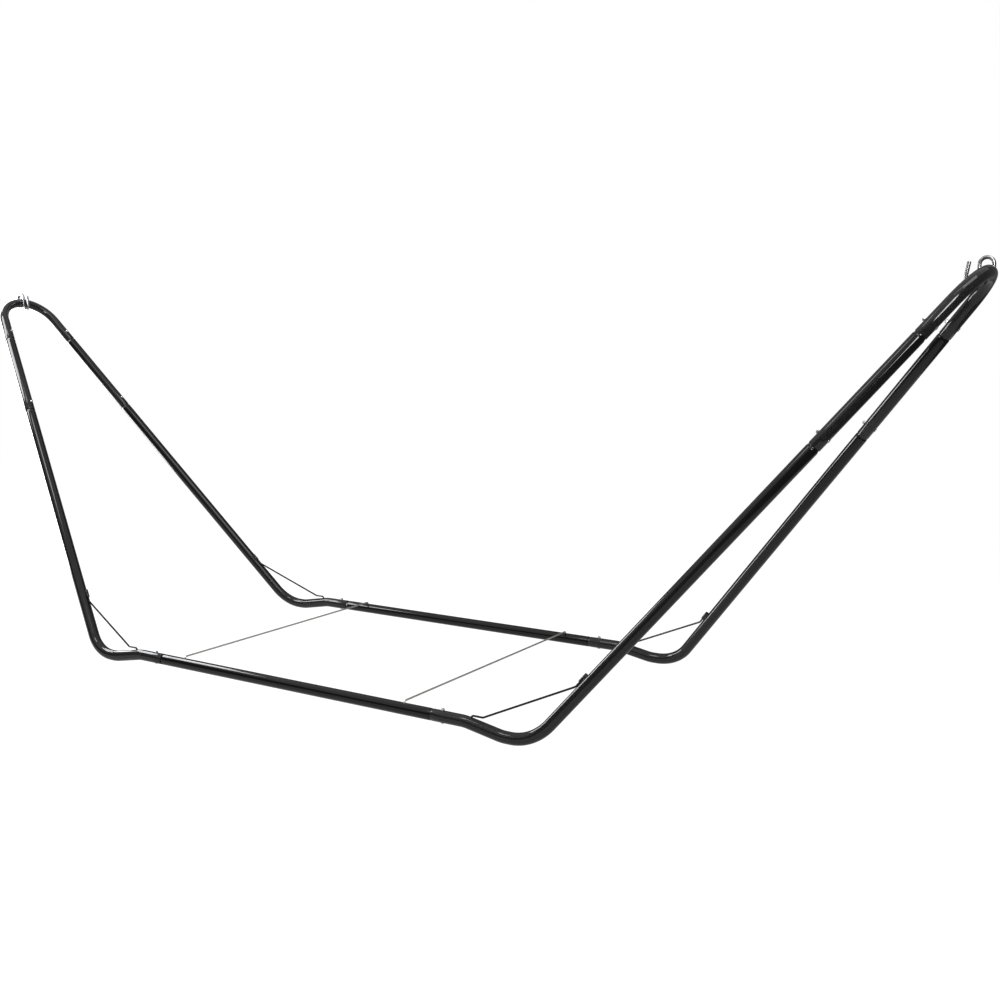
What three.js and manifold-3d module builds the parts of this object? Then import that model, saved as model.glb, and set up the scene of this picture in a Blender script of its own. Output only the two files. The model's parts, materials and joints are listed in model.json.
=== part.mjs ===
// Hammock stand of bolted steel tube: two straight rails, four bent corner tubes, four straight
// arm tubes and two bows, tied by rods and braces, with one swinging wire hook at each bow.
// Millimetres. X runs along the stand, Y across it, Z up, with the floor at Z = 0 and the origin
// under the middle of the stand.

import * as THREE from "three";
import { mergeVertices } from "three/addons/utils/BufferGeometryUtils.js";
import Module from "manifold-3d";

const wasm = await Module();
wasm.setup();

// ---------------------------------------------------------------- driving dimensions

// Tube, and the swaged end that slides into the next tube.
const TUBE_RADIUS = 19;
const TUBE_WALL = 1.5;
const TUBE_SIDES = 12;
const SWAGE_SHOULDER_RADIUS = 18.9;
const SPIGOT_RADIUS = 17.2;
const SPIGOT_BORE_RADIUS = 15.7;
const SWAGE_LENGTH = 8;
const NECK_LENGTH = 10;
const SPIGOT_LENGTH = 85;
const SWAGE_ROOT = 4;

// Base: rails at half the stand's width, each meeting a corner tube that dips to a short foot.
const RAIL_HALF_SPACING = 519.3;
const RAIL_SEAM_X = 595.8;
const DIP_START_X = 713.2;
const DIP_END_X = 845.1;
const FOOT_DIP = 23.9;
const CORNER_X = 949.2;
const DIP_BEND_RADIUS = 155;
const CORNER_BEND_RADIUS = 154.5;

// Arms: they rise outward along X and lean in until their lines would meet over the centre.
const ARM_CREST_X = 2302.7;
const ARM_CREST_RISE = 1667.8;
const LOWER_SEAM = 1159.8;
const UPPER_SEAM = 1553.3;
const BOW_BEND_RADIUS = 131;

// Joint fasteners.
const BOLT_INSET = 36;
const BOLT_RADIUS = 3;
const BOLT_HOLE_RADIUS = 3.4;
const BOLT_HEAD_RADIUS = 6;
const BOLT_HEAD_HEIGHT = 1.6;
const BOLT_OVERRUN = 1.6;
const NUT_ACROSS_FLATS = 10;
const NUT_HEIGHT = 5.2;

// Tie rods across the base.
const ROD_RADIUS = 3;
const ROD_SIDES = 8;
const ROD_HOLE_RADIUS = 4;
const TIE_ROD_X = 485.7;
const TIE_ROD_HEIGHT = 25.5;
const TIE_ROD_BEND = 8;
const ROD_TAIL_HEIGHT = 3;

// Braces: from a hole in the corner tube up to a lug on the arm.
const BRACE_FOOT_X = 735.4;
const BRACE_KNEE_X = 777.1;
const BRACE_KNEE_HEIGHT = 22;
const BRACE_BEND_ALONG = 210;
const BRACE_TIP_ALONG = 257;
const BRACE_OFFSET = 23.4;
const BRACE_FOOT_BEND = 9;
const BRACE_KNEE_BEND = 14;
const BRACE_TIP_BEND = 24;
const LUG_START_ALONG = 229.5;
const LUG_LENGTH = 31;
const LUG_HALF_WIDTH = 6.2;
const LUG_SLOT_HALF_WIDTH = 3.9;

// Hooks: round wire bent to an S, one end dropped into a hole in the top of the bow.
const HOOK_WIRE_RADIUS = 5;
const HOOK_SIDES = 8;
const HOOK_HOLE_OFFSET = 11;
const HOOK_HOLE_RADIUS = 6.6;
const HOOK_TAIL_HEIGHT = 3;
const HOOK_ARCH_HEIGHT = 39;
const HOOK_ARCH_RADIUS = 18;
const HOOK_SHANK_OFFSET = -25;
const HOOK_CROOK_HEIGHT = -27.5;
const HOOK_CROOK_OFFSET = -60.9;
const HOOK_CROOK_RADIUS = 16;
const HOOK_TIP_HEIGHT = 30;
const HOOK_TIP_OFFSET = -50.8;

// Clearance between touching pieces, and the largest turn taken by one step of a bend.
const GAP = 0.3;
const TUBE_BEND_STEP = THREE.MathUtils.degToRad(11);
const ROD_BEND_STEP = THREE.MathUtils.degToRad(24);
const HOOK_BEND_STEP = THREE.MathUtils.degToRad(23);

// ---------------------------------------------------------------- derived dimensions

const UP = new THREE.Vector3(0, 0, 1);
const LATHE_AXIS = new THREE.Vector3(0, 1, 0);
const RAIL_HEIGHT = FOOT_DIP + TUBE_RADIUS;
const TUBE_CORNER_RADIUS = TUBE_RADIUS / Math.cos(Math.PI / TUBE_SIDES);
const SEAT = TUBE_CORNER_RADIUS + GAP;

const ENDS = [{ name: "left", sign: -1 }, { name: "right", sign: 1 }];
const SIDES = [{ name: "front", sign: -1 }, { name: "rear", sign: 1 }];

const black = { color: 0x141416, roughness: 0.28, metalness: 0.1 };
const zinc = { color: 0xb4b7ba, roughness: 0.38, metalness: 0.9 };
const bright = { color: 0xd2d4d6, roughness: 0.2, metalness: 1.0 };

// ---------------------------------------------------------------- paths and solids

// A bent bar's centreline: straight runs joined by arcs, with stations only where it turns.
class BentPath extends THREE.Curve {
  constructor(corners, radii, bendStep) {
    super();
    const heading = (i) => corners[i + 1].clone().sub(corners[i]).normalize();
    this.stations = [{ point: corners[0], tangent: heading(0) }];
    for (let i = 1; i < corners.length - 1; i += 1) {
      this.addBend(corners[i], heading(i - 1), heading(i), radii[i - 1], bendStep);
    }
    const last = corners.length - 1;
    this.stations.push({ point: corners[last], tangent: heading(last - 1) });
  }

  addBend(corner, incoming, outgoing, radius, bendStep) {
    const turn = incoming.angleTo(outgoing);
    const inward = outgoing.clone().addScaledVector(incoming, -incoming.dot(outgoing)).normalize();
    const start = corner.clone().addScaledVector(incoming, -radius * Math.tan(turn / 2));
    const steps = Math.ceil(turn / bendStep);
    for (let k = 0; k <= steps; k += 1) {
      const angle = (turn * k) / steps;
      const point = start.clone();
      point.addScaledVector(incoming, radius * Math.sin(angle));
      point.addScaledVector(inward, radius * (1 - Math.cos(angle)));
      const tangent = incoming.clone().multiplyScalar(Math.cos(angle));
      tangent.addScaledVector(inward, Math.sin(angle));
      this.stations.push({ point, tangent });
    }
  }

  get steps() {
    return this.stations.length - 1;
  }

  getPointAt(u, target = new THREE.Vector3()) {
    return target.copy(this.stations[Math.round(u * this.steps)].point);
  }

  getTangentAt(u, target = new THREE.Vector3()) {
    return target.copy(this.stations[Math.round(u * this.steps)].tangent);
  }
}

// Regular polygon with its flats at the given radius, one flat facing each axis.
function polygon(flatRadius, sides) {
  const cornerRadius = flatRadius / Math.cos(Math.PI / sides);
  const points = [];
  for (let i = 0; i < sides; i += 1) {
    const angle = ((i + 0.5) * 2 * Math.PI) / sides;
    points.push(new THREE.Vector2(cornerRadius * Math.cos(angle), cornerRadius * Math.sin(angle)));
  }
  return points;
}

function sweep(section, path) {
  return new THREE.ExtrudeGeometry(section, { steps: path.steps, extrudePath: path });
}

function sweepTube(path) {
  const section = new THREE.Shape(polygon(TUBE_RADIUS, TUBE_SIDES));
  section.holes.push(new THREE.Path(polygon(TUBE_RADIUS - TUBE_WALL, TUBE_SIDES)));
  return sweep(section, path);
}

function sweepBar(path, flatRadius, sides) {
  return sweep(new THREE.Shape(polygon(flatRadius, sides)), path);
}

function place(geometry, position, direction) {
  const turn = new THREE.Quaternion().setFromUnitVectors(LATHE_AXIS, direction);
  const matrix = new THREE.Matrix4().compose(position, turn, new THREE.Vector3(1, 1, 1));
  return geometry.applyMatrix4(matrix);
}

function toSolid(geometry) {
  geometry.deleteAttribute("normal");
  geometry.deleteAttribute("uv");
  const merged = mergeVertices(geometry, 1e-3);
  const vertProperties = Float32Array.from(merged.attributes.position.array);
  const triVerts = Uint32Array.from(merged.index.array);
  return new wasm.Manifold(new wasm.Mesh({ numProp: 3, vertProperties, triVerts }));
}

function toGeometry(solid) {
  const mesh = solid.getMesh();
  const geometry = new THREE.BufferGeometry();
  geometry.setAttribute("position", new THREE.BufferAttribute(mesh.vertProperties, 3));
  geometry.setIndex(new THREE.BufferAttribute(mesh.triVerts, 1));
  geometry.computeVertexNormals();
  return geometry;
}

// A round drill for holes, running from its start for a given length.
function drill(start, direction, length, radius) {
  const bit = new THREE.CylinderGeometry(radius, radius, length, ROD_SIDES);
  const centre = start.clone().addScaledVector(direction, length / 2);
  return toSolid(place(bit, centre, direction));
}

// Swaged end: a taper, then the spigot that goes inside the next tube. It starts at the tube's
// full-diameter end and reaches back a little inside the tube's wall.
function swagedEnd(tubeEnd, direction) {
  const profile = [
    new THREE.Vector2(SPIGOT_BORE_RADIUS, -SWAGE_ROOT),
    new THREE.Vector2(SWAGE_SHOULDER_RADIUS, -SWAGE_ROOT),
    new THREE.Vector2(SWAGE_SHOULDER_RADIUS, GAP),
    new THREE.Vector2(SPIGOT_RADIUS, SWAGE_LENGTH),
    new THREE.Vector2(SPIGOT_RADIUS, SPIGOT_LENGTH),
    new THREE.Vector2(SPIGOT_BORE_RADIUS, SPIGOT_LENGTH),
    new THREE.Vector2(SPIGOT_BORE_RADIUS, -SWAGE_ROOT),
  ];
  return toSolid(place(new THREE.LatheGeometry(profile, TUBE_SIDES), tubeEnd, direction));
}

// ---------------------------------------------------------------- layout of one corner

// Everything about one of the four corners: the arm's line and the joints along it.
function cornerLayout(end, side) {
  const at = (x, y, z) => new THREE.Vector3(end.sign * x, side.sign * y, z);
  const corner = at(CORNER_X, RAIL_HALF_SPACING, RAIL_HEIGHT - FOOT_DIP);
  const crest = at(ARM_CREST_X, 0, RAIL_HEIGHT - FOOT_DIP + ARM_CREST_RISE);
  const along = crest.clone().sub(corner).normalize();
  const outward = new THREE.Vector3(end.sign, 0, 0);
  const inner = along.clone().multiplyScalar(along.dot(outward)).sub(outward).normalize();
  const onArm = (distance, offset = 0) => {
    return corner.clone().addScaledVector(along, distance).addScaledVector(inner, offset);
  };
  const railSeam = at(RAIL_SEAM_X, RAIL_HALF_SPACING, RAIL_HEIGHT);
  const joints = {
    base: { seam: railSeam, direction: outward, nutSide: UP },
    arm_lower: { seam: onArm(LOWER_SEAM), direction: along, nutSide: inner },
    arm_upper: { seam: onArm(UPPER_SEAM), direction: along, nutSide: inner },
  };
  for (const joint of Object.values(joints)) {
    joint.bolt = joint.seam.clone().addScaledVector(joint.direction, BOLT_INSET);
    joint.innerTubeEnd = joint.seam.clone().addScaledVector(joint.direction, -NECK_LENGTH);
  }
  return { name: `${side.name}_${end.name}`, at, corner, crest, along, inner, onArm, joints };
}

// The bolt's hole right across both tubes of a joint.
function boltHole(joint) {
  const start = joint.bolt.clone().addScaledVector(joint.nutSide, -2 * TUBE_RADIUS);
  return drill(start, joint.nutSide, 4 * TUBE_RADIUS, BOLT_HOLE_RADIUS);
}

// ---------------------------------------------------------------- tubes

function railGeometry(side) {
  const corners = ENDS.map((end) => cornerLayout(end, side));
  const tubeEnds = corners.map((corner) => corner.joints.base.innerTubeEnd);
  let rail = toSolid(sweepTube(new BentPath(tubeEnds, [], TUBE_BEND_STEP)));
  for (const corner of corners) {
    const joint = corner.joints.base;
    const rodHole = corner.at(TIE_ROD_X, RAIL_HALF_SPACING, RAIL_HEIGHT);
    rail = rail.add(swagedEnd(joint.innerTubeEnd, joint.direction));
    rail = rail.subtract(boltHole(joint));
    rail = rail.subtract(drill(rodHole, UP, 2 * TUBE_RADIUS, ROD_HOLE_RADIUS));
  }
  return toGeometry(rail);
}

function cornerGeometry(layout) {
  const { at, corner, joints } = layout;
  const route = [
    joints.base.seam,
    at(DIP_START_X, RAIL_HALF_SPACING, RAIL_HEIGHT),
    at(DIP_END_X, RAIL_HALF_SPACING, RAIL_HEIGHT - FOOT_DIP),
    corner,
    joints.arm_lower.innerTubeEnd,
  ];
  const bends = [DIP_BEND_RADIUS, DIP_BEND_RADIUS, CORNER_BEND_RADIUS];
  const braceHole = at(BRACE_FOOT_X, RAIL_HALF_SPACING, RAIL_HEIGHT);
  const tube = toSolid(sweepTube(new BentPath(route, bends, TUBE_BEND_STEP)));
  const spigot = swagedEnd(joints.arm_lower.innerTubeEnd, joints.arm_lower.direction);
  return toGeometry(tube.add(spigot)
    .subtract(boltHole(joints.base))
    .subtract(boltHole(joints.arm_lower))
    .subtract(drill(braceHole, UP, 2 * TUBE_RADIUS, ROD_HOLE_RADIUS)));
}

function armGeometry(layout) {
  const { arm_lower: lower, arm_upper: upper } = layout.joints;
  const tube = toSolid(sweepTube(new BentPath([lower.seam, upper.innerTubeEnd], [], TUBE_BEND_STEP)));
  return toGeometry(tube.add(swagedEnd(upper.innerTubeEnd, upper.direction))
    .subtract(boltHole(lower))
    .subtract(boltHole(upper)));
}

// Centre of the bow's tube at its top, where the two arm lines are rounded off to an arc.
function bowTop(end) {
  const { crest, along } = cornerLayout(end, SIDES[0]);
  const rise = new THREE.Vector3(along.x, 0, along.z);
  const slope = rise.length();
  const lean = Math.abs(along.y);
  return crest.clone().addScaledVector(rise.divideScalar(slope), -BOW_BEND_RADIUS * (1 / lean - 1));
}

function bowGeometry(end) {
  const [front, rear] = SIDES.map((side) => cornerLayout(end, side));
  const route = [front.joints.arm_upper.seam, front.crest, rear.joints.arm_upper.seam];
  const top = bowTop(end);
  const hookHole = top.clone().add(new THREE.Vector3(end.sign * HOOK_HOLE_OFFSET, 0, 0));
  const bow = toSolid(sweepTube(new BentPath(route, [BOW_BEND_RADIUS], TUBE_BEND_STEP)));
  return toGeometry(bow
    .subtract(boltHole(front.joints.arm_upper))
    .subtract(boltHole(rear.joints.arm_upper))
    .subtract(drill(hookHole, UP, 2 * TUBE_RADIUS, HOOK_HOLE_RADIUS)));
}

// ---------------------------------------------------------------- rods, braces and hooks

function tieRodGeometry() {
  const at = (y, z) => new THREE.Vector3(0, y, z);
  const route = [
    at(-RAIL_HALF_SPACING, RAIL_HEIGHT + ROD_TAIL_HEIGHT),
    at(-RAIL_HALF_SPACING, RAIL_HEIGHT + TIE_ROD_HEIGHT),
    at(RAIL_HALF_SPACING, RAIL_HEIGHT + TIE_ROD_HEIGHT),
    at(RAIL_HALF_SPACING, RAIL_HEIGHT + ROD_TAIL_HEIGHT),
  ];
  return sweepBar(new BentPath(route, [TIE_ROD_BEND, TIE_ROD_BEND], ROD_BEND_STEP), ROD_RADIUS, ROD_SIDES);
}

function braceGeometry(layout) {
  const { at, onArm } = layout;
  const route = [
    at(BRACE_FOOT_X, RAIL_HALF_SPACING, RAIL_HEIGHT),
    at(BRACE_FOOT_X, RAIL_HALF_SPACING, RAIL_HEIGHT + BRACE_KNEE_HEIGHT),
    at(BRACE_KNEE_X, RAIL_HALF_SPACING, RAIL_HEIGHT + BRACE_KNEE_HEIGHT),
    onArm(BRACE_BEND_ALONG, BRACE_OFFSET),
    onArm(BRACE_TIP_ALONG, BRACE_OFFSET),
  ];
  const bends = [BRACE_FOOT_BEND, BRACE_KNEE_BEND, BRACE_TIP_BEND];
  return sweepBar(new BentPath(route, bends, ROD_BEND_STEP), ROD_RADIUS, ROD_SIDES);
}

// Small bent-plate saddle over the brace's upper end, open towards the arm.
function lugGeometry() {
  const centre = BRACE_OFFSET - SEAT;
  const saddle = new THREE.Shape();
  saddle.moveTo(LUG_SLOT_HALF_WIDTH, 0);
  saddle.lineTo(LUG_HALF_WIDTH, 0);
  saddle.lineTo(LUG_HALF_WIDTH, centre);
  saddle.absarc(0, centre, LUG_HALF_WIDTH, 0, Math.PI, false);
  saddle.lineTo(-LUG_HALF_WIDTH, 0);
  saddle.lineTo(-LUG_SLOT_HALF_WIDTH, 0);
  saddle.lineTo(-LUG_SLOT_HALF_WIDTH, centre);
  saddle.absarc(0, centre, LUG_SLOT_HALF_WIDTH, Math.PI, 0, true);
  saddle.lineTo(LUG_SLOT_HALF_WIDTH, 0);
  return new THREE.ExtrudeGeometry(saddle, { depth: LUG_LENGTH, bevelEnabled: false, curveSegments: 6 });
}

function hookGeometry(end) {
  const at = (outward, height) => new THREE.Vector3(end.sign * outward, 0, height);
  const route = [
    at(HOOK_HOLE_OFFSET, HOOK_TAIL_HEIGHT),
    at(HOOK_HOLE_OFFSET, HOOK_ARCH_HEIGHT),
    at(HOOK_SHANK_OFFSET, HOOK_ARCH_HEIGHT),
    at(HOOK_SHANK_OFFSET, HOOK_CROOK_HEIGHT),
    at(HOOK_CROOK_OFFSET, HOOK_CROOK_HEIGHT),
    at(HOOK_TIP_OFFSET, HOOK_TIP_HEIGHT),
  ];
  const bends = [HOOK_ARCH_RADIUS, HOOK_ARCH_RADIUS, HOOK_CROOK_RADIUS, HOOK_CROOK_RADIUS];
  return sweepBar(new BentPath(route, bends, HOOK_BEND_STEP), HOOK_WIRE_RADIUS, HOOK_SIDES);
}

// ---------------------------------------------------------------- fasteners

// Round-headed bolt on its own Y axis, with the middle of the tube at Y = 0.
function boltGeometry() {
  const tip = SEAT + NUT_HEIGHT + BOLT_OVERRUN;
  const profile = [
    new THREE.Vector2(0, -SEAT - BOLT_HEAD_HEIGHT),
    new THREE.Vector2(0.75 * BOLT_HEAD_RADIUS, -SEAT - 0.8 * BOLT_HEAD_HEIGHT),
    new THREE.Vector2(BOLT_HEAD_RADIUS, -SEAT),
    new THREE.Vector2(BOLT_RADIUS, -SEAT),
    new THREE.Vector2(BOLT_RADIUS, tip),
    new THREE.Vector2(0, tip),
  ];
  return new THREE.LatheGeometry(profile, ROD_SIDES);
}

function nutGeometry() {
  const hexagon = new THREE.Shape(polygon(NUT_ACROSS_FLATS / 2, 6));
  hexagon.holes.push(new THREE.Path(polygon(BOLT_HOLE_RADIUS, ROD_SIDES)));
  const geometry = new THREE.ExtrudeGeometry(hexagon, { depth: NUT_HEIGHT, bevelEnabled: false });
  return geometry.rotateX(-Math.PI / 2).translate(0, SEAT, 0);
}

// ---------------------------------------------------------------- assembly

const stand = new THREE.Group();

function addPiece(name, geometry, finish) {
  const mesh = new THREE.Mesh(geometry, new THREE.MeshStandardMaterial(finish));
  mesh.name = name;
  stand.add(mesh);
  return mesh;
}

function addJoint(name, joint) {
  const pieces = [addPiece(`bolt_${name}`, boltGeometry(), zinc), addPiece(`nut_${name}`, nutGeometry(), zinc)];
  for (const piece of pieces) {
    piece.position.copy(joint.bolt);
    piece.quaternion.setFromUnitVectors(LATHE_AXIS, joint.nutSide);
  }
}

function addCorner(layout) {
  addPiece(`corner_tube_${layout.name}`, cornerGeometry(layout), black);
  addPiece(`arm_tube_${layout.name}`, armGeometry(layout), black);
  addPiece(`brace_rod_${layout.name}`, braceGeometry(layout), black);
  const lug = addPiece(`brace_lug_${layout.name}`, lugGeometry(), black);
  const across = layout.inner.clone().cross(layout.along);
  lug.quaternion.setFromRotationMatrix(new THREE.Matrix4().makeBasis(across, layout.inner, layout.along));
  lug.position.copy(layout.onArm(LUG_START_ALONG, SEAT));
  for (const [name, joint] of Object.entries(layout.joints)) {
    addJoint(`${name}_${layout.name}`, joint);
  }
}

for (const side of SIDES) {
  addPiece(`rail_${side.name}`, railGeometry(side), black);
}

for (const end of ENDS) {
  for (const side of SIDES) {
    addCorner(cornerLayout(end, side));
  }
  addPiece(`bow_${end.name}`, bowGeometry(end), black);
  addPiece(`tie_rod_${end.name}`, tieRodGeometry(), zinc).position.x = end.sign * TIE_ROD_X;
  addPiece(`hook_${end.name}`, hookGeometry(end), bright).position.copy(bowTop(end));
}

export default stand;
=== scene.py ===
import json
import math

import bmesh
import bpy
from mathutils import Matrix, Vector


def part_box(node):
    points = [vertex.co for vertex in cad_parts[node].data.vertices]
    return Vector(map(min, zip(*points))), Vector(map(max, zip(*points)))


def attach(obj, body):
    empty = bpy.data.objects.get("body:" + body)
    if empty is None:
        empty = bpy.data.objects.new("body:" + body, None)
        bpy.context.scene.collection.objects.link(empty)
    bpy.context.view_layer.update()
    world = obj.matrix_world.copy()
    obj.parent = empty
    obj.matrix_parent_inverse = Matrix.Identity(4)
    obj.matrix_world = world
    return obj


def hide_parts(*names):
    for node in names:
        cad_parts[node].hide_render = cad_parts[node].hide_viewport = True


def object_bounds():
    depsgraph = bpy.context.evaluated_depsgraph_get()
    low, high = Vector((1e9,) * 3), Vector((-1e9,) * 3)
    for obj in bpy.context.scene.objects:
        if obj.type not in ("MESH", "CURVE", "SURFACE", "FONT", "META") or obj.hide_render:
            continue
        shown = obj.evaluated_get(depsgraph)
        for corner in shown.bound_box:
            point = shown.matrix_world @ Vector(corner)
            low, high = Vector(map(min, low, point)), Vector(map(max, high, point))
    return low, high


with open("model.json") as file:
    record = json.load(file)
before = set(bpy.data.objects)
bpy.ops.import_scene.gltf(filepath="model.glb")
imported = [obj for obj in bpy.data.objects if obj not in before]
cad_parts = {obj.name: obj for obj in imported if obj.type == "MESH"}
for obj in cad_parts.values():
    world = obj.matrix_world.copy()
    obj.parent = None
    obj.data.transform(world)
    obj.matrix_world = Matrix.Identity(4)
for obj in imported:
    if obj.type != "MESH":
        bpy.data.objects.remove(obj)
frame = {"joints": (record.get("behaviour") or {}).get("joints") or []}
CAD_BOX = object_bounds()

# Metres. X runs along the stand, Y across it from the front rail to the rear rail, Z up.
# The tube's size and the places of the rails, base joints, tie rods, arms and hooks come from the
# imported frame. What follows are stock sizes, bends, and distances that no piece's box gives.

TUBE_WALL = 0.0015
SPIGOT_RADIUS = 0.0172
SWAGE_LENGTH = 0.008
NECK_LENGTH = 0.010
SPIGOT_LENGTH = 0.085
SWAGE_ROOT = 0.004
RIM = 0.0004

DIP_START_X = 0.7132
DIP_END_X = 0.8451
CORNER_X = 0.9492
DIP_BEND_RADIUS = 0.155
CORNER_BEND_RADIUS = 0.1545
LOWER_SEAM = 1.1598
UPPER_SEAM = 1.5533
BOW_BEND_RADIUS = 0.131

BOLT_INSET = 0.036
BOLT_RADIUS = 0.003
BOLT_HEAD_RADIUS = 0.006
BOLT_HEAD_HEIGHT = 0.0016
BOLT_HEAD_EDGE = 0.0005
BOLT_HEAD_CHAMFER = 0.0003
BOLT_OVERRUN = 0.0020
BOLT_TIP_LENGTH = 0.0006
BOLT_TIP_CHAMFER = 0.0008
BOLT_SEGMENTS = 32
THREAD_PITCH = 0.001
THREAD_DEPTH = 0.0005
THREAD_STEPS_PER_TURN = 8
THREAD_START_DEPTH = 0.004
NUT_ACROSS_FLATS = 0.010
NUT_HEIGHT = 0.0052
NUT_SEGMENTS = 60
NUT_FACE_SHARE = 0.96
NUT_BEVEL = math.radians(30)
NUT_CLEARANCE = 0.0001
NUT_COUNTERSINK = 0.0005
NUT_SMOOTH_ANGLE = math.radians(25)
FASTENER_GAP = 0.0003
FASTENER_TURN = 0.7

ROD_RADIUS = 0.003
ROD_CHAMFER = 0.0005
ROD_HOLE_RADIUS = 0.0035
HOLE_WEAR_REACH = 0.0002
ROD_TAIL_HEIGHT = 0.003
TIE_ROD_BEND = 0.008

BRACE_FOOT_X = 0.7354
BRACE_KNEE_X = 0.7771
BRACE_KNEE_HEIGHT = 0.022
BRACE_BEND_ALONG = 0.210
BRACE_TIP_ALONG = 0.257
BRACE_OFFSET = 0.0234
BRACE_FOOT_BEND = 0.009
BRACE_KNEE_BEND = 0.014
BRACE_TIP_BEND = 0.024
LUG_START_ALONG = 0.2295
LUG_LENGTH = 0.031
LUG_HALF_WIDTH = 0.0062
LUG_SLOT_HALF_WIDTH = 0.0039
LUG_FOOT = -0.0012
LUG_CHAMFER_ALONG = 0.0005
LUG_CHAMFER_ACROSS = 0.0003
WELD_RADIUS = 0.0010
WELD_OUTSET = 0.0006
WELD_END_SHARE = 0.04
WELD_TAPER = 0.25
WELD_SMOOTH_ANGLE = math.radians(60)
WELD_RIPPLES = 14
WELD_RIPPLE_DEPTH = 0.08
WELD_STEPS = 60
WELD_SEGMENTS = 12

HOOK_WIRE_RADIUS = 0.005
HOOK_HOLE_RADIUS = 0.0065
HOOK_PIVOT_OFFSET = 0.011
HOOK_PIVOT_HEIGHT = 0.0165
HOOK_TAIL_HEIGHT = 0.003
HOOK_ARCH_HEIGHT = 0.039
HOOK_ARCH_RADIUS = 0.018
HOOK_SHANK_OFFSET = -0.025
HOOK_CROOK_HEIGHT = -0.0275
HOOK_CROOK_OFFSET = -0.0609
HOOK_CROOK_RADIUS = 0.016
HOOK_TIP_HEIGHT = 0.030
HOOK_TIP_OFFSET = -0.0508
HOOK_TIP_ROUNDING = 0.0025
HOOK_TAIL_CHAMFER = 0.001

TUBE_SEGMENTS = 48
ROD_SEGMENTS = 24
HOOK_SEGMENTS = 32
HOLE_SEGMENTS = 32
BEND_STEP = math.radians(2.5)
RUN_STEP = 0.07
SMOOTH_ANGLE = math.radians(32)

UP = Vector((0, 0, 1))
ENDS = {"left": -1, "right": 1}
SIDES = {"front": -1, "rear": 1}


def middle(node):
    low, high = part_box(node)
    return (low + high) / 2


RAIL_LOW, RAIL_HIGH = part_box("rail_rear")
TUBE_RADIUS = (RAIL_HIGH.z - RAIL_LOW.z) / 2
TUBE_BORE = TUBE_RADIUS - TUBE_WALL
SPIGOT_BORE = SPIGOT_RADIUS - TUBE_WALL
RAIL_HEIGHT = middle("rail_rear").z
RAIL_HALF_SPACING = middle("rail_rear").y
RAIL_SEAM_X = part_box("corner_tube_rear_right")[0].x
FOOT_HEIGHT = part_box("corner_tube_rear_right")[0].z + TUBE_RADIUS
TIE_ROD_X = middle("tie_rod_right").x
TIE_ROD_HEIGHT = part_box("tie_rod_right")[1].z - ROD_RADIUS


# ------------------------------------------------------------------ centrelines


class Bar:
    """A bent bar's centreline: straight runs joined by arcs, measured along its length."""

    def __init__(self, corners, radii=()):
        self.spans = []
        self.length = 0.0
        place = corners[0]
        for i, radius in enumerate(radii, start=1):
            incoming = (corners[i] - corners[i - 1]).normalized()
            outgoing = (corners[i + 1] - corners[i]).normalized()
            turn = incoming.angle(outgoing)
            setback = radius * math.tan(turn / 2)
            start = corners[i] - incoming * setback
            self._add_run(place, start)
            self._add_arc(start, incoming, outgoing, radius, turn)
            place = corners[i] + outgoing * setback
        self._add_run(place, corners[-1])

    def _add_run(self, start, end):
        heading = (end - start).normalized()
        length = (end - start).length

        def at(s):
            return start + heading * s, heading

        self._add_span(length, at, max(1, math.ceil(length / RUN_STEP)))

    def _add_arc(self, start, incoming, outgoing, radius, turn):
        inward = (outgoing - incoming * incoming.dot(outgoing)).normalized()

        def at(s):
            angle = s / radius
            point = start + incoming * (radius * math.sin(angle))
            point += inward * (radius * (1 - math.cos(angle)))
            return point, incoming * math.cos(angle) + inward * math.sin(angle)

        self._add_span(radius * turn, at, math.ceil(turn / BEND_STEP))

    def _add_span(self, length, at, steps):
        self.spans.append((self.length, length, at, steps))
        self.length += length

    def at(self, s):
        """The point at distance s, and the bar's direction there."""
        for start, length, at, _ in self.spans:
            if s <= start + length:
                return at(s - start)
        start, _, at, _ = self.spans[-1]
        return at(s - start)

    def stops(self):
        """Distances where the bar needs a ring of its own."""
        found = []
        for start, length, _, steps in self.spans:
            found += [start + length * k / steps for k in range(steps)]
        return found + [self.length]


def frames_along(bar, distances):
    """For each distance: the point there and two directions across the bar that never twist."""
    frames = {}
    _, heading = bar.at(0)
    across = heading.orthogonal().normalized()
    for s in sorted(set(distances)):
        point, heading = bar.at(s)
        across = (across - heading * across.dot(heading)).normalized()
        frames[s] = (point, across, heading.cross(across))
    return frames


def fill_in(profile, stops):
    """The profile with the bar's own stops added between its points. Each point is (s, r, wear)."""
    filled = []
    for (s0, r0, w0), (s1, r1, w1) in zip(profile, profile[1:]):
        filled.append((s0, r0, w0))
        low, high = min(s0, s1), max(s0, s1)
        between = [s for s in stops if low + 1e-5 < s < high - 1e-5]
        for s in sorted(between, reverse=s1 < s0):
            share = (s - s0) / (s1 - s0)
            filled.append((s, r0 + (r1 - r0) * share, w0 + (w1 - w0) * share))
    return filled + [profile[-1]]


# ------------------------------------------------------------------ mesh work


def finish_mesh(name, bm, material, smooth_angle=SMOOTH_ANGLE):
    bmesh.ops.recalc_face_normals(bm, faces=bm.faces)
    mesh = bpy.data.meshes.new(name)
    bm.to_mesh(mesh)
    bm.free()
    mesh.polygons.foreach_set("use_smooth", [True] * len(mesh.polygons))
    mesh.set_sharp_from_angle(angle=smooth_angle)
    mesh.materials.append(material)
    obj = bpy.data.objects.new(name, mesh)
    bpy.context.scene.collection.objects.link(obj)
    return obj


def bridge(bm, rings):
    for low, high in zip(rings, rings[1:]):
        for i in range(len(low)):
            j = (i + 1) % len(low)
            bm.faces.new((low[i], low[j], high[j], high[i]))


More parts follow.
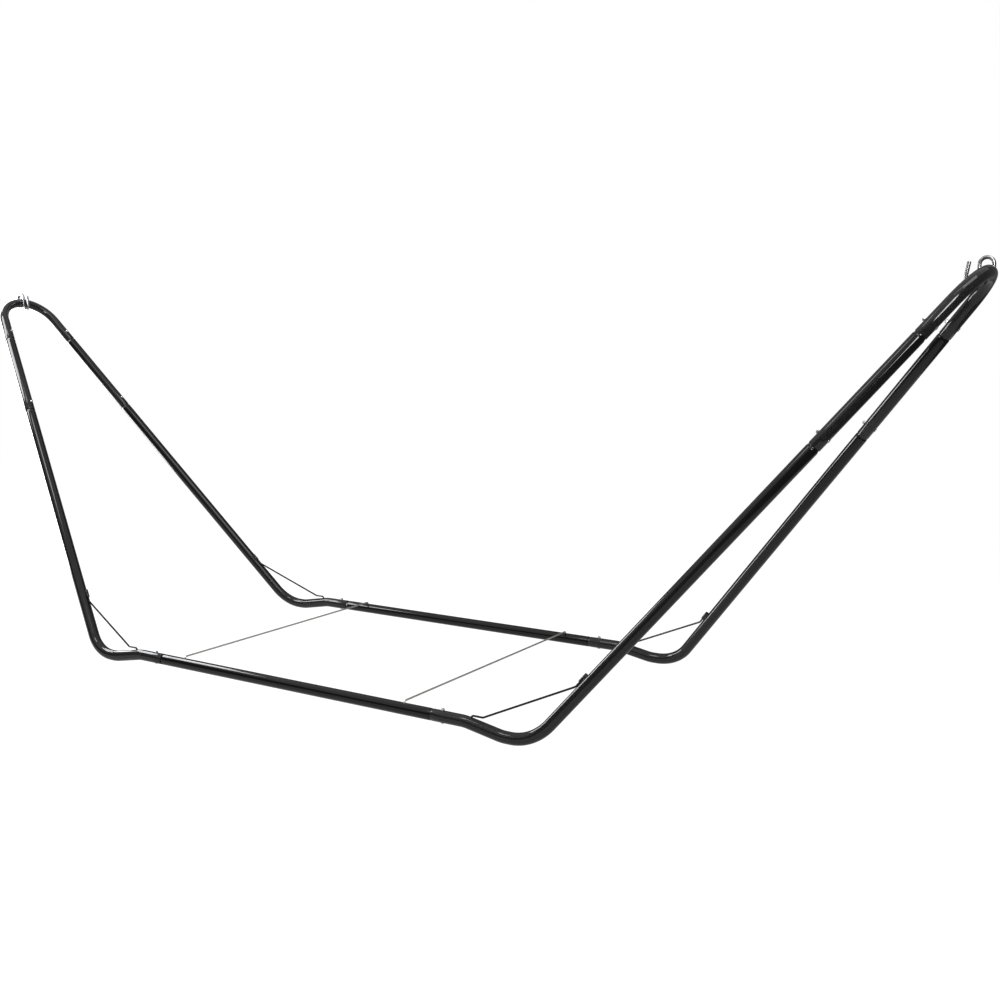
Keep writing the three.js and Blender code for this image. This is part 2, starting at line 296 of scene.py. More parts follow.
def sweep(name, bar, profile, segments, material, hollow=False):
    """A round bar or tube along a centreline. A tube's profile runs out along its outside and back
    along its bore; a bar's runs from one flat end to the other."""
    points = fill_in(profile + profile[:1] if hollow else profile, bar.stops())
    if hollow:
        points.pop()
    frames = frames_along(bar, [s for s, _, _ in points])
    bm = bmesh.new()
    wear = bm.verts.layers.float.new("wear")
    rings = []
    for s, radius, worn in points:
        centre, across, around = frames[s]
        ring = []
        for i in range(segments):
            angle = 2 * math.pi * i / segments
            vert = bm.verts.new(centre + (across * math.cos(angle) + around * math.sin(angle)) * radius)
            vert[wear] = worn
            ring.append(vert)
        rings.append(ring)
    if hollow:
        rings.append(rings[0])
    else:
        bm.faces.new(rings[0])
        bm.faces.new(rings[-1])
    bridge(bm, rings)
    return finish_mesh(name, bm, material)


def drill(obj, holes):
    """Cuts round holes, each (start, direction, length, radius), and marks their edges as worn."""
    for start, direction, length, radius in holes:
        cutter_bm = bmesh.new()
        turn = UP.rotation_difference(direction).to_matrix().to_4x4()
        place = Matrix.Translation(start + direction * length / 2) @ turn
        bmesh.ops.create_cone(cutter_bm, cap_ends=True, segments=HOLE_SEGMENTS, radius1=radius,
                              radius2=radius, depth=length, matrix=place)
        cutter = finish_mesh("cutter", cutter_bm, obj.data.materials[0])
        cut = obj.modifiers.new("hole", "BOOLEAN")
        cut.operation = "DIFFERENCE"
        cut.solver = "EXACT"
        cut.object = cutter
        bpy.context.view_layer.update()
        shaped = obj.evaluated_get(bpy.context.evaluated_depsgraph_get())
        mesh = bpy.data.meshes.new_from_object(shaped)
        obj.modifiers.remove(cut)
        obj.data = mesh
        bpy.data.objects.remove(cutter)
        for vert, worn in zip(mesh.vertices, mesh.attributes["wear"].data):
            away = vert.co - start
            if (away - direction * away.dot(direction)).length < radius + HOLE_WEAR_REACH:
                worn.value = 1.0
        mesh.set_sharp_from_angle(angle=SMOOTH_ANGLE)


# ------------------------------------------------------------------ materials


# A mix node has several sockets of one name, so its colour sockets are found by number.
MIX_COLOUR_A = 6
MIX_COLOUR_B = 7
MIX_COLOUR_RESULT = 2


class Nodes:
    """A few shorthands for building a material's node tree."""

    def __init__(self, name):
        self.material = bpy.data.materials.new(name)
        self.material.use_nodes = True
        self.tree = self.material.node_tree
        self.shader = self.tree.nodes["Principled BSDF"]
        self.place = self.add("ShaderNodeTexCoord").outputs["Object"]

    def add(self, kind, **settings):
        node = self.tree.nodes.new(kind)
        for key, value in settings.items():
            setattr(node, key, value)
        return node

    def link(self, source, target):
        self.tree.links.new(source, target)

    def noise(self, scale, detail=3.0, stretch=None):
        place = self.place
        if stretch:
            mapping = self.add("ShaderNodeMapping")
            mapping.inputs["Scale"].default_value = stretch
            self.link(place, mapping.inputs["Vector"])
            place = mapping.outputs["Vector"]
        node = self.add("ShaderNodeTexNoise")
        node.inputs["Scale"].default_value = scale
        node.inputs["Detail"].default_value = detail
        self.link(place, node.inputs["Vector"])
        return node.outputs["Fac"]

    def spread(self, value, low, high, start=0.3, end=0.7):
        """Maps a noise value from start..end to low..high."""
        node = self.add("ShaderNodeMapRange")
        node.inputs["From Min"].default_value = start
        node.inputs["From Max"].default_value = end
        node.inputs["To Min"].default_value = low
        node.inputs["To Max"].default_value = high
        self.link(value, node.inputs["Value"])
        return node.outputs["Result"]

    def blend(self, factor, first, second):
        """Mixes two colours, each a socket or (r, g, b)."""
        node = self.add("ShaderNodeMix", data_type="RGBA")
        self.link(factor, node.inputs["Factor"])
        for slot, colour in ((MIX_COLOUR_A, first), (MIX_COLOUR_B, second)):
            if isinstance(colour, tuple):
                node.inputs[slot].default_value = (*colour, 1)
            else:
                self.link(colour, node.inputs[slot])
        return node.outputs[MIX_COLOUR_RESULT]

    def times(self, first, second):
        node = self.add("ShaderNodeMath", operation="MULTIPLY")
        for slot, value in enumerate((first, second)):
            if isinstance(value, float):
                node.inputs[slot].default_value = value
            else:
                self.link(value, node.inputs[slot])
        return node.outputs["Value"]

    def bump(self, height, distance, strength=1.0, under=None):
        node = self.add("ShaderNodeBump")
        node.inputs["Strength"].default_value = strength
        node.inputs["Distance"].default_value = distance
        self.link(height, node.inputs["Height"])
        if under:
            self.link(under, node.inputs["Normal"])
        return node.outputs["Normal"]


COAT_DEEP = (0.0026, 0.0024, 0.0025)
COAT_FADED = (0.0050, 0.0046, 0.0047)
DUST = (0.06, 0.06, 0.058)
BARE_STEEL = (0.20, 0.20, 0.205)
OXIDE = (0.22, 0.215, 0.20)
WIRE_DARK = (0.36, 0.365, 0.375)
WIRE_LIGHT = (0.48, 0.48, 0.49)
PEEL_DEPTH = 0.00002
GRAIN_DEPTH = 0.00001


def powder_coat():
    """Gloss black powder coat: faint orange peel, patchy gloss, and thin bare spots on edges."""
    n = Nodes("black_powder_coat")
    patches = n.noise(9.0, 4.0)
    colour = n.blend(n.spread(patches, 0, 1), COAT_DEEP, COAT_FADED)
    dust = n.spread(n.noise(420.0, 2.0), 0, 1, 0.66, 0.78)
    colour = n.blend(n.times(dust, 0.35), colour, DUST)
    worn = n.add("ShaderNodeAttribute", attribute_name="wear").outputs["Fac"]
    chips = n.times(worn, n.spread(n.noise(600.0, 3.0), 0, 0.85, 0.42, 0.62))
    n.link(n.blend(chips, colour, BARE_STEEL), n.shader.inputs["Base Color"])
    n.link(n.times(chips, 0.8), n.shader.inputs["Metallic"])
    n.link(n.spread(n.noise(30.0, 5.0), 0.06, 0.11), n.shader.inputs["Roughness"])
    peel = n.bump(n.noise(380.0, 1.5), PEEL_DEPTH, 0.15)
    n.link(n.bump(n.noise(1900.0, 2.0), GRAIN_DEPTH, 0.1, peel), n.shader.inputs["Normal"])
    n.shader.inputs["IOR"].default_value = 1.52
    return n.material


def zinc_plate(name, dark, light, rough_low, rough_high):
    """Zinc plate: cloudy grey, with a fine grain and small dull spots."""
    n = Nodes(name)
    clouds = n.spread(n.noise(160.0, 4.0), 0, 1)
    colour = n.blend(clouds, dark, light)
    spots = n.spread(n.noise(1400.0, 2.0), 0, 1, 0.6, 0.72)
    n.link(n.blend(n.times(spots, 0.4), colour, OXIDE), n.shader.inputs["Base Color"])
    n.shader.inputs["Metallic"].default_value = 1.0
    n.link(n.spread(n.noise(700.0, 3.0), rough_low, rough_high), n.shader.inputs["Roughness"])
    n.link(n.bump(n.noise(2600.0, 2.0), GRAIN_DEPTH, 0.5), n.shader.inputs["Normal"])
    return n.material


def bright_wire():
    """Plated wire: bright and satin, with handling marks and faint hairline scratches."""
    n = Nodes("bright_plated_wire")
    smears = n.spread(n.noise(120.0, 4.0), 0, 1)
    n.link(n.blend(smears, WIRE_DARK, WIRE_LIGHT), n.shader.inputs["Base Color"])
    n.shader.inputs["Metallic"].default_value = 1.0
    n.link(n.spread(n.noise(300.0, 4.0), 0.22, 0.30), n.shader.inputs["Roughness"])
    scratches = n.noise(900.0, 2.0, stretch=(1.0, 9.0, 0.4))
    n.link(n.bump(scratches, GRAIN_DEPTH, 0.1), n.shader.inputs["Normal"])
    return n.material


COAT = powder_coat()
ZINC = zinc_plate("bright_zinc", (0.52, 0.53, 0.55), (0.74, 0.75, 0.76), 0.24, 0.40)
DULL_ZINC = zinc_plate("dull_zinc", (0.58, 0.575, 0.56), (0.70, 0.695, 0.68), 0.42, 0.58)
WIRE = bright_wire()


# ------------------------------------------------------------------ one corner's layout


class Corner:
    """One of the four corners: its arm's line and the joints along it."""

    def __init__(self, side, end):
        self.name = f"{side}_{end}"
        self.side = SIDES[side]
        self.end = ENDS[end]
        self.foot = self.at(CORNER_X, RAIL_HALF_SPACING, FOOT_HEIGHT)
        upper = middle(f"bolt_arm_upper_{self.name}")
        lower = middle(f"bolt_arm_lower_{self.name}")
        self.along = (upper - lower).normalized()
        outward = Vector((self.end, 0, 0))
        self.inner = (self.along * self.along.dot(outward) - outward).normalized()
        self.crest = self.foot + self.along * (RAIL_HALF_SPACING / abs(self.along.y))
        rail_seam = self.at(RAIL_SEAM_X, RAIL_HALF_SPACING, RAIL_HEIGHT)
        self.joints = {
            "base": (rail_seam, outward, UP),
            "arm_lower": (self.on_arm(LOWER_SEAM), self.along, self.inner),
            "arm_upper": (self.on_arm(UPPER_SEAM), self.along, self.inner),
        }

    def at(self, x, y, z):
        return Vector((self.end * x, self.side * y, z))

    def on_arm(self, distance, offset=0.0):
        return self.foot + self.along * distance + self.inner * offset


CORNERS = {(side, end): Corner(side, end) for side in SIDES for end in ENDS}


def bow_top(end):
    """Centre of the bow's tube where its hook hangs, from the hook's hinge."""
    hinge = next(j for j in frame["joints"] if j["child"] == f"{end}_hook")
    return Vector(hinge["pos_m"]) - Vector((ENDS[end] * HOOK_PIVOT_OFFSET, 0, HOOK_PIVOT_HEIGHT))


# ------------------------------------------------------------------ tubes


def plain_end(s, inward):
    """Profile points round a cut tube end at s, from its outside to its bore."""
    return [
        (s + inward * RIM, TUBE_RADIUS, 0.25),
        (s + inward * 0.3 * RIM, TUBE_RADIUS - 0.3 * RIM, 1.0),
        (s, TUBE_RADIUS - RIM, 0.6),
        (s, TUBE_BORE + 0.5 * RIM, 0.3),
        (s + inward * 0.5 * RIM, TUBE_BORE, 0.0),
    ]


def swaged_end(s, outward):
    """Profile points from the tube's full size at s, down the swage, round the spigot and back."""
    drop = TUBE_RADIUS - SPIGOT_RADIUS
    steps = 8
    points = []
    for k in range(steps + 1):
        share = k / steps
        fall = drop * (1 - math.cos(math.pi * share)) / 2
        points.append((s + outward * SWAGE_LENGTH * share, TUBE_RADIUS - fall, 0.0))
    return points + [
        (s + outward * SPIGOT_LENGTH, SPIGOT_RADIUS, 0.0),
        (s + outward * SPIGOT_LENGTH, SPIGOT_BORE, 0.0),
        (s - outward * SWAGE_ROOT, SPIGOT_BORE, 0.0),
        (s - outward * SWAGE_ROOT, TUBE_BORE, 0.0),
    ]


def closed_profile(start, end):
    """A tube's whole section: along its outside to one end, round it, and back along its bore."""
    return list(reversed(start)) + end


def rail(side):
    left, right = (CORNERS[side, end].joints["base"][0] for end in ENDS)
    line = Bar([left - Vector((SPIGOT_LENGTH, 0, 0)), right + Vector((SPIGOT_LENGTH, 0, 0))])
    full_start = SPIGOT_LENGTH + NECK_LENGTH
    full_end = line.length - SPIGOT_LENGTH - NECK_LENGTH
    profile = closed_profile(swaged_end(full_start, -1), swaged_end(full_end, 1))
    tube = sweep(f"visual_rail_{side}", line, profile, TUBE_SEGMENTS, COAT, hollow=True)
    holes = []
    for end in ENDS.values():
        centre = Vector((end * TIE_ROD_X, SIDES[side] * RAIL_HALF_SPACING, RAIL_HEIGHT))
        holes.append((centre, UP, 2 * TUBE_RADIUS, ROD_HOLE_RADIUS))
    drill(tube, holes)
    return tube


def corner_tube(corner):
    seam = corner.joints["base"][0]
    spigot_tip = corner.on_arm(LOWER_SEAM - NECK_LENGTH + SPIGOT_LENGTH)
    line = Bar(
        [
            seam,
            corner.at(DIP_START_X, RAIL_HALF_SPACING, RAIL_HEIGHT),
            corner.at(DIP_END_X, RAIL_HALF_SPACING, FOOT_HEIGHT),
            corner.foot,
            spigot_tip,
        ],
        [DIP_BEND_RADIUS, DIP_BEND_RADIUS, CORNER_BEND_RADIUS],
    )
    profile = closed_profile(plain_end(0, 1), swaged_end(line.length - SPIGOT_LENGTH, 1))
    tube = sweep(f"visual_corner_tube_{corner.name}", line, profile, TUBE_SEGMENTS, COAT, hollow=True)
    centre = corner.at(BRACE_FOOT_X, RAIL_HALF_SPACING, RAIL_HEIGHT)
    drill(tube, [(centre, UP, 2 * TUBE_RADIUS, ROD_HOLE_RADIUS)])
    return tube


def arm_tube(corner):
    spigot_tip = corner.on_arm(UPPER_SEAM - NECK_LENGTH + SPIGOT_LENGTH)
    line = Bar([corner.on_arm(LOWER_SEAM), spigot_tip])
    profile = closed_profile(plain_end(0, 1), swaged_end(line.length - SPIGOT_LENGTH, 1))
    return sweep(f"visual_arm_tube_{corner.name}", line, profile, TUBE_SEGMENTS, COAT, hollow=True)


def bow(end):
    front, rear = (CORNERS[side, end] for side in SIDES)
    line = Bar([front.on_arm(UPPER_SEAM), front.crest, rear.on_arm(UPPER_SEAM)], [BOW_BEND_RADIUS])
    profile = closed_profile(plain_end(0, 1), plain_end(line.length, -1))
    tube = sweep(f"visual_bow_{end}", line, profile, TUBE_SEGMENTS, COAT, hollow=True)
    hole = bow_top(end) + Vector((ENDS[end] * HOOK_PIVOT_OFFSET, 0, 0))
    drill(tube, [(hole, UP, 2 * TUBE_RADIUS, HOOK_HOLE_RADIUS)])
    return tube


# ------------------------------------------------------------------ rods and hooks


def bar_profile(length, radius, chamfer):
    """Profile points of a solid bar with both its ends chamfered."""
    return [
        (0, radius - chamfer, 0.5),
        (chamfer, radius, 0.0),
        (length - chamfer, radius, 0.0),
        (length, radius - chamfer, 0.5),
    ]


def tie_rod(end):
    x = ENDS[end] * TIE_ROD_X
    tail = RAIL_HEIGHT + ROD_TAIL_HEIGHT
    line = Bar(
        [
            Vector((x, -RAIL_HALF_SPACING, tail)),
            Vector((x, -RAIL_HALF_SPACING, TIE_ROD_HEIGHT)),
            Vector((x, RAIL_HALF_SPACING, TIE_ROD_HEIGHT)),
            Vector((x, RAIL_HALF_SPACING, tail)),
        ],
        [TIE_ROD_BEND, TIE_ROD_BEND],
    )
    profile = bar_profile(line.length, ROD_RADIUS, ROD_CHAMFER)
    return sweep(f"visual_tie_rod_{end}", line, profile, ROD_SEGMENTS, DULL_ZINC)


def brace_rod(corner):
    y = RAIL_HALF_SPACING
    line = Bar(
        [
            corner.at(BRACE_FOOT_X, y, RAIL_HEIGHT),
            corner.at(BRACE_FOOT_X, y, RAIL_HEIGHT + BRACE_KNEE_HEIGHT),
            corner.at(BRACE_KNEE_X, y, RAIL_HEIGHT + BRACE_KNEE_HEIGHT),
            corner.on_arm(BRACE_BEND_ALONG, BRACE_OFFSET),
            corner.on_arm(BRACE_TIP_ALONG, BRACE_OFFSET),
        ],
        [BRACE_FOOT_BEND, BRACE_KNEE_BEND, BRACE_TIP_BEND],
    )
    profile = bar_profile(line.length, ROD_RADIUS, ROD_CHAMFER)
    return sweep(f"visual_brace_rod_{corner.name}", line, profile, ROD_SEGMENTS, COAT)


def hook(end):
    top = bow_top(end)

    def at(outward, height):
        return top + Vector((ENDS[end] * outward, 0, height))

    line = Bar(
        [
            at(HOOK_PIVOT_OFFSET, HOOK_TAIL_HEIGHT),
            at(HOOK_PIVOT_OFFSET, HOOK_ARCH_HEIGHT),
            at(HOOK_SHANK_OFFSET, HOOK_ARCH_HEIGHT),
            at(HOOK_SHANK_OFFSET, HOOK_CROOK_HEIGHT),
            at(HOOK_CROOK_OFFSET, HOOK_CROOK_HEIGHT),
            at(HOOK_TIP_OFFSET, HOOK_TIP_HEIGHT),
        ],
        [HOOK_ARCH_RADIUS, HOOK_ARCH_RADIUS, HOOK_CROOK_RADIUS, HOOK_CROOK_RADIUS],
    )
    profile = [
        (0, HOOK_WIRE_RADIUS - HOOK_TAIL_CHAMFER, 0.0),
        (HOOK_TAIL_CHAMFER, HOOK_WIRE_RADIUS, 0.0),
    ]
    steps = 7
    for k in range(steps):
        angle = math.pi / 2 * k / steps
        s = line.length - HOOK_TIP_ROUNDING * (1 - math.sin(angle))
        profile.append((s, HOOK_WIRE_RADIUS - HOOK_TIP_ROUNDING * (1 - math.cos(angle)), 0.0))
    return sweep(f"visual_hook_{end}", line, profile, HOOK_SEGMENTS, WIRE)


def lug_arch(radius, centre):
    """Half of the saddle's section, as (across, height above the arm) points over an arch."""
    turns = [math.radians(angle) for angle in range(0, 181, 12)]
    arch = [(radius * math.cos(turn), centre + radius * math.sin(turn)) for turn in turns]
    return [(radius, LUG_FOOT)] + arch + [(-radius, LUG_FOOT)]


def lug(corner):
    """Saddle of bent plate over the brace's tip, welded to the arm along both its edges."""
    centre = BRACE_OFFSET - TUBE_RADIUS
    outline = lug_arch(LUG_HALF_WIDTH, centre) + lug_arch(LUG_SLOT_HALF_WIDTH, centre)[::-1]
    across = corner.inner.cross(corner.along)
    bm = bmesh.new()
    wear = bm.verts.layers.float.new("wear")
    rings = []
    for distance, shrink, worn in (
        (0, LUG_CHAMFER_ACROSS, 0.8),
        (LUG_CHAMFER_ALONG, 0, 0.2),
        (LUG_LENGTH - LUG_CHAMFER_ALONG, 0, 0.2),
        (LUG_LENGTH, LUG_CHAMFER_ACROSS, 0.8),
    ):
        pull = 1 - shrink / LUG_HALF_WIDTH
        base = corner.on_arm(LUG_START_ALONG + distance, TUBE_RADIUS + centre)
        ring = []
        for x, height in outline:
            vert = bm.verts.new(base + across * x * pull + corner.inner * (height - centre) * pull)
            vert[wear] = worn
            ring.append(vert)
        rings.append(ring)
    bridge(bm, rings)
    bm.faces.new(rings[0])
    bm.faces.new(rings[-1])
    return finish_mesh(f"visual_brace_lug_{corner.name}", bm, COAT)


def weld_bead(corner, edge):
    """A rippled fillet of weld along one foot of the lug."""
    across = corner.inner.cross(corner.along) * edge
    lean = (LUG_HALF_WIDTH + WELD_OUTSET) / TUBE_RADIUS
    drop = TUBE_RADIUS * math.cos(lean)
    bm = bmesh.new()
    wear = bm.verts.layers.float.new("wear")
    rings = []
    for k in range(WELD_STEPS + 1):
        share = k / WELD_STEPS
        ripple = 1 + WELD_RIPPLE_DEPTH * math.sin(share * 2 * math.pi * WELD_RIPPLES)
        radius = WELD_RADIUS * ripple * math.sin(math.pi * share) ** WELD_TAPER
        distance = LUG_LENGTH * (WELD_END_SHARE + (1 - 2 * WELD_END_SHARE) * share)
        base = corner.on_arm(LUG_START_ALONG + distance, drop)
        ring = []
        for i in range(WELD_SEGMENTS):
            angle = 2 * math.pi * i / WELD_SEGMENTS
            offset = across * (LUG_HALF_WIDTH + radius * math.cos(angle))
            offset += corner.inner * radius * math.sin(angle)
            vert = bm.verts.new(base + offset)
            vert[wear] = 0.15
            ring.append(vert)
        rings.append(ring)
    bridge(bm, rings)
    bm.faces.new(rings[0])
    bm.faces.new(rings[-1])
    name = "outer" if edge > 0 else "inner"
    return finish_mesh(f"weld_{name}_{corner.name}", bm, COAT, WELD_SMOOTH_ANGLE)


# ------------------------------------------------------------------ fasteners


def turned(name, outline, hollow=False, smooth_angle=SMOOTH_ANGLE):
    """A zinc fastener from rings of (x, y, z) points about the Z axis. A hollow one's last ring
    meets its first; any other has both its ends capped."""
    bm = bmesh.new()
    rings = [[bm.verts.new(point) for point in ring] for ring in outline]
    if hollow:
        bridge(bm, rings + rings[:1])
    else:
        bridge(bm, rings)
        bm.faces.new(rings[0])
        bm.faces.new(rings[-1])
    return finish_mesh(name, bm, ZINC, smooth_angle)


def circle(radius, z, segments):
    turns = [2 * math.pi * i / segments for i in range(segments)]
    return [(radius * math.cos(a), radius * math.sin(a), z) for a in turns]


def thread(bottom, top):
    """Rings of a screw thread whose crest climbs one pitch for each turn."""
    steps = math.ceil((top - bottom) / THREAD_PITCH * THREAD_STEPS_PER_TURN)
    rings = []
    for k in range(steps + 1):
        z = bottom + (top - bottom) * k / steps
        fade = min(1.0, (top - z) / THREAD_PITCH, (z - bottom) / THREAD_PITCH)
        ring = []
        for i in range(BOLT_SEGMENTS):
            phase = (z / THREAD_PITCH - i / BOLT_SEGMENTS) % 1.0
            radius = BOLT_RADIUS - THREAD_DEPTH * abs(2 * phase - 1) * fade
            angle = 2 * math.pi * i / BOLT_SEGMENTS
            ring.append((radius * math.cos(angle), radius * math.sin(angle), z))
        rings.append(ring)
    return rings


def bolt_mesh():
    """Bolt with a low domed head, threaded where it comes through the nut."""
    under_head = -TUBE_RADIUS - FASTENER_GAP
    tip = TUBE_RADIUS + FASTENER_GAP + NUT_HEIGHT + BOLT_OVERRUN
    dome_height = BOLT_HEAD_HEIGHT - BOLT_HEAD_EDGE
    rings = []
    for k in range(8):
        angle = math.pi / 2 * (k + 0.6) / 7.6
        height = under_head - BOLT_HEAD_EDGE - dome_height * math.cos(angle)
        rings.append(circle(BOLT_HEAD_RADIUS * math.sin(angle), height, BOLT_SEGMENTS))
    rings.append(circle(BOLT_HEAD_RADIUS, under_head - BOLT_HEAD_CHAMFER, BOLT_SEGMENTS))
    rings.append(circle(BOLT_HEAD_RADIUS - BOLT_HEAD_CHAMFER, under_head, BOLT_SEGMENTS))
    rings.append(circle(BOLT_RADIUS, under_head, BOLT_SEGMENTS))
    rings += thread(TUBE_RADIUS - THREAD_START_DEPTH, tip - BOLT_TIP_LENGTH)
    rings.append(circle(BOLT_RADIUS - BOLT_TIP_CHAMFER, tip, BOLT_SEGMENTS))
    return turned("bolt", rings)


def hexagon(height_at):
    """The nut's six flats as a ring of points. height_at gives a point's height from its distance
    beyond the round face."""
    flat = NUT_ACROSS_FLATS / 2
    sixth = math.pi / 3
    ring = []
    for i in range(NUT_SEGMENTS):
        angle = 2 * math.pi * i / NUT_SEGMENTS
        radius = flat / math.cos(angle % sixth - sixth / 2)
        height = height_at(radius - NUT_FACE_SHARE * flat)
        ring.append((radius * math.cos(angle), radius * math.sin(angle), height))
    return ring


def nut_mesh():
    """Hexagon nut with its corners chamfered on both faces and a countersunk hole."""
    low = TUBE_RADIUS + FASTENER_GAP
    high = low + NUT_HEIGHT
    slope = math.tan(NUT_BEVEL)
    bore = BOLT_RADIUS + NUT_CLEARANCE
    mouth = bore + NUT_COUNTERSINK
    face = NUT_FACE_SHARE * NUT_ACROSS_FLATS / 2
    rings = [
        circle(bore, low + NUT_COUNTERSINK, NUT_SEGMENTS),
        circle(mouth, low, NUT_SEGMENTS),
        circle(face, low, NUT_SEGMENTS),
        hexagon(lambda beyond: low + beyond * slope),
        hexagon(lambda beyond: high - beyond * slope),
        circle(face, high, NUT_SEGMENTS),
        circle(mouth, high, NUT_SEGMENTS),
        circle(bore, high - NUT_COUNTERSINK, NUT_SEGMENTS),
    ]
    return turned("nut", rings, hollow=True, smooth_angle=NUT_SMOOTH_ANGLE)


def place_copy(source, name, seam, direction, nut_side, spin):
    """A copy of a fastener through the joint at seam, its nut's end towards nut_side."""
    centre = seam + direction * BOLT_INSET
    side = direction.cross(nut_side).normalized()
    turn = Matrix((side, nut_side.cross(side), nut_side)).transposed().to_4x4()
    mesh = source.data.copy()
    mesh.transform(Matrix.Translation(centre) @ turn @ Matrix.Rotation(spin, 4, "Z"))
    obj = bpy.data.objects.new(name, mesh)
    bpy.context.scene.collection.objects.link(obj)
    return obj


# ------------------------------------------------------------------ putting it together


def finish_piece(obj, body, *nodes):
    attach(obj, body)
    if nodes:
        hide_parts(*nodes)


for side in SIDES:
    finish_piece(rail(side), "frame", f"rail_{side}")

for end in ENDS:
    finish_piece(bow(end), "frame", f"bow_{end}")
    finish_piece(tie_rod(end), "frame", f"tie_rod_{end}")
    finish_piece(hook(end), f"{end}_hook", f"hook_{end}")

bolt_source = bolt_mesh()
nut_source = nut_mesh()
spin = 0.0
for corner in CORNERS.values():
    finish_piece(corner_tube(corner), "frame", f"corner_tube_{corner.name}")
    finish_piece(arm_tube(corner), "frame", f"arm_tube_{corner.name}")
    finish_piece(brace_rod(corner), "frame", f"brace_rod_{corner.name}")
    finish_piece(lug(corner), "frame", f"brace_lug_{corner.name}")
    for edge in (-1, 1):
        finish_piece(weld_bead(corner, edge), "frame")
    for joint, (seam, direction, nut_side) in corner.joints.items():
        spin += FASTENER_TURN
        for kind, source in (("bolt", bolt_source), ("nut", nut_source)):
            node = f"{kind}_{joint}_{corner.name}"
            piece = place_copy(source, f"visual_{node}", seam, direction, nut_side, spin)
            finish_piece(piece, "frame", node)
for source in (bolt_source, nut_source):
    bpy.data.objects.remove(source)


# ------------------------------------------------------------------ floor, light and camera


ROOM_BRIGHTNESS = 0.17
FLOOR_SIZE = (160, 160)
FLOOR_GLOW = 0.98
FLOOR_DROP = 0.001
PAPER_SIZE = (6.3, 6.2)
PAPER_MIDDLE = (-0.6, -0.3)
PAPER_GLOW = 0.6
PAPER_DROP = 0.0005
SOFTBOX_AIM = (0.0, 0.0, 0.7)
SOFTBOXES = (
    # name, place, aimed at, width, height, brightness, colour
    ("ceiling", (-0.4, -2.0, 3.6), (-0.4, -2.0, 0.0), 8.8, 8.8, 0.45, (1.0, 0.99, 0.98)),
    ("left_window", (-2.2, -0.7, 1.7), SOFTBOX_AIM, 0.45, 0.9, 10.0, (0.97, 0.98, 1.0)),
    ("left_low_window", (-2.5, 0.0, 0.95), SOFTBOX_AIM, 0.65, 2.6, 9.0, (0.97, 0.98, 1.0)),
    ("high_lamp", (-1.5, -2.3, 4.65), SOFTBOX_AIM, 0.9, 1.5, 5.0, (1.0, 1.0, 1.0)),
    ("high_panel", (1.5, -2.7, 5.65), SOFTBOX_AIM, 3.0, 0.8, 2.4, (1.0, 0.98, 0.96)),
    ("right_panel", (3.6, -1.4, 5.3), SOFTBOX_AIM, 3.2, 2.6, 2.4, (1.0, 0.98, 0.96)),
    ("camera_panel", (3.5, -3.8, 2.3), (2.0, -0.1, 1.3), 1.2, 1.3, 13.0, (1.0, 0.99, 0.98)),
)


def glowing_sheet(name, dark, light, glow):
    """A dark, matt, evenly glowing material, whose brightness the lamps hardly change."""
    n = Nodes(name)
    n.link(n.blend(n.noise(0.8, 2.0), (dark,) * 3, (light,) * 3), n.shader.inputs["Base Color"])
    n.shader.inputs["Roughness"].default_value = 0.9
    n.shader.inputs["Emission Color"].default_value = (1, 1, 1, 1)
    n.shader.inputs["Emission Strength"].default_value = glow
    return n.material


def flat_sheet(name, size, centre, drop, material):
    """A level rectangle, drop below the lowest point of the stand."""
    height = CAD_BOX[0].z - drop
    bm = bmesh.new()
    verts = []
    for u, v in ((-0.5, -0.5), (0.5, -0.5), (0.5, 0.5), (-0.5, 0.5)):
        verts.append(bm.verts.new((centre[0] + u * size[0], centre[1] + v * size[1], height)))
    bm.faces.new(verts)
    sheet = finish_mesh(name, bm, material)
    return sheet


def studio_floor():
    """The white floor the camera sees, and a smaller, dimmer sheet that only reflections see."""
    white = glowing_sheet("white_floor", 0.030, 0.034, FLOOR_GLOW)
    floor = flat_sheet("floor", FLOOR_SIZE, (0, 0), FLOOR_DROP, white)
    floor.visible_glossy = False
    floor.visible_diffuse = False
    grey = glowing_sheet("paper", 0.02, 0.03, PAPER_GLOW)
    paper = flat_sheet("paper", PAPER_SIZE, PAPER_MIDDLE, PAPER_DROP, grey)
    paper.visible_camera = False
    paper.visible_shadow = False


def softbox(name, place, target, width, height, brightness, colour):
    """A rectangular lamp that looks equally bright at any size, and that the camera doesn't see."""
    data = bpy.data.lights.new(name, "AREA")
    data.shape = "RECTANGLE"
    data.size = width
    data.size_y = height
    data.energy = 4 * width * height * brightness
    data.color = colour
    lamp = bpy.data.objects.new(name, data)
    lamp.location = place
    lamp.rotation_mode = "QUATERNION"
    lamp.rotation_quaternion = (Vector(target) - Vector(place)).to_track_quat("-Z", "Y")
    lamp.visible_camera = False
    bpy.context.scene.collection.objects.link(lamp)


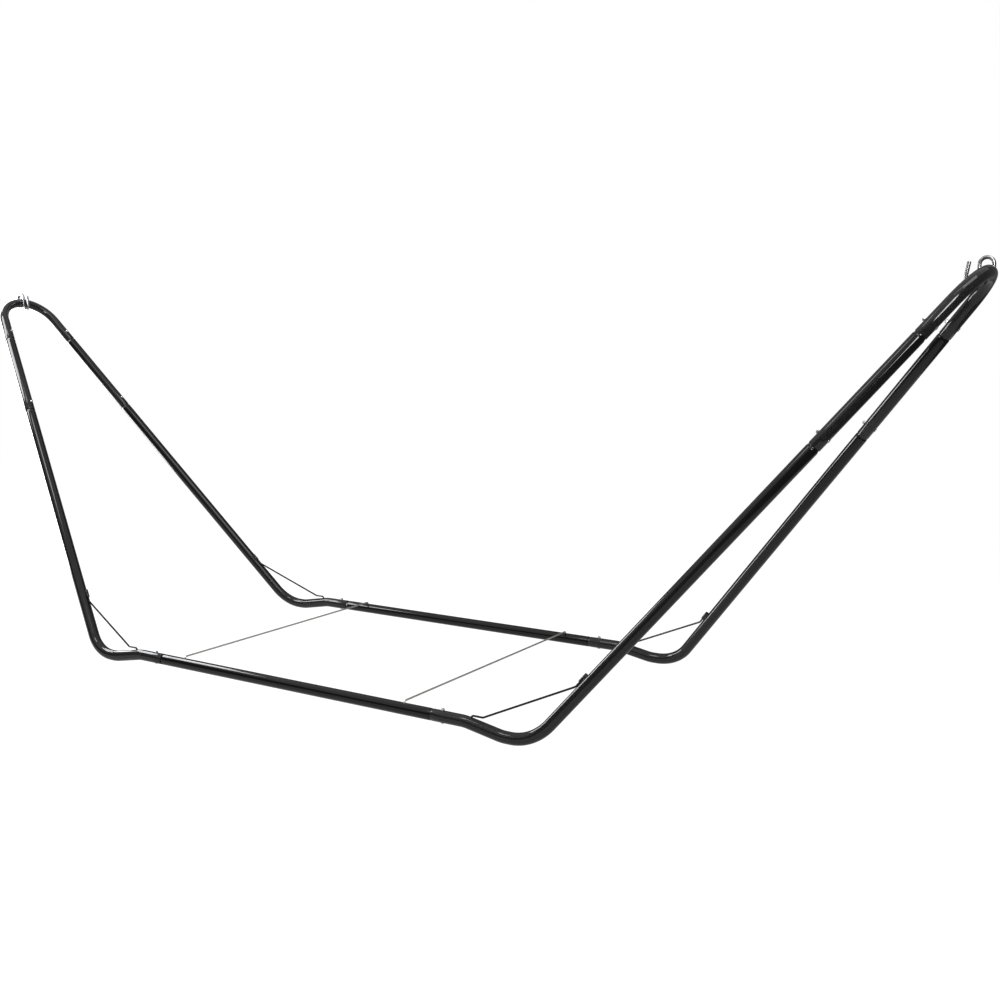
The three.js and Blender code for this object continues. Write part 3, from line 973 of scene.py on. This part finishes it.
def studio_world():
    """White behind the object, but a dim room in its reflections."""
    world = bpy.data.worlds.new("studio")
    bpy.context.scene.world = world
    world.use_nodes = True
    tree = world.node_tree
    room = tree.nodes["Background"]
    room.inputs["Color"].default_value = (1, 1, 1, 1)
    room.inputs["Strength"].default_value = ROOM_BRIGHTNESS
    backdrop = tree.nodes.new("ShaderNodeBackground")
    backdrop.inputs["Color"].default_value = (1, 1, 1, 1)
    backdrop.inputs["Strength"].default_value = 1.0
    seen = tree.nodes.new("ShaderNodeLightPath")
    mix = tree.nodes.new("ShaderNodeMixShader")
    tree.links.new(seen.outputs["Is Camera Ray"], mix.inputs["Fac"])
    tree.links.new(room.outputs["Background"], mix.inputs[1])
    tree.links.new(backdrop.outputs["Background"], mix.inputs[2])
    tree.links.new(mix.outputs["Shader"], tree.nodes["World Output"].inputs["Surface"])


TONES = ((0.015, 0.009), (0.05, 0.037), (0.15, 0.115), (0.3, 0.24), (0.6, 0.52))
COMBINED_CURVE = 3


def tone_curve():
    """Deepens the darks and greys a little, so that thin dark rods hold against the white."""
    view = bpy.context.scene.view_settings
    view.view_transform = "Standard"
    view.use_curve_mapping = True
    curve = view.curve_mapping.curves[COMBINED_CURVE]
    for level, shown in TONES:
        curve.points.new(level, shown)
    view.curve_mapping.update()


def studio():
    studio_floor()
    studio_world()
    for settings in SOFTBOXES:
        softbox(*settings)
    tone_curve()


# Angles in radians; the lens and the sensor in millimetres.
CAMERA_PLACE = Vector((2.5788, -3.3006, 1.1589))
CAMERA_YAW = 0.5595
CAMERA_PITCH = -0.1319
CAMERA_LENS = 41.425
CAMERA_SENSOR = 36
CAMERA_REACH = 200


def camera():
    data = bpy.data.cameras.new("camera")
    data.sensor_width = CAMERA_SENSOR
    data.lens = CAMERA_LENS
    data.clip_end = CAMERA_REACH
    cam = bpy.data.objects.new("camera", data)
    cam.location = CAMERA_PLACE
    cam.rotation_euler = (math.pi / 2 + CAMERA_PITCH, 0, CAMERA_YAW)
    bpy.context.scene.collection.objects.link(cam)
    bpy.context.scene.camera = cam


studio()
camera()
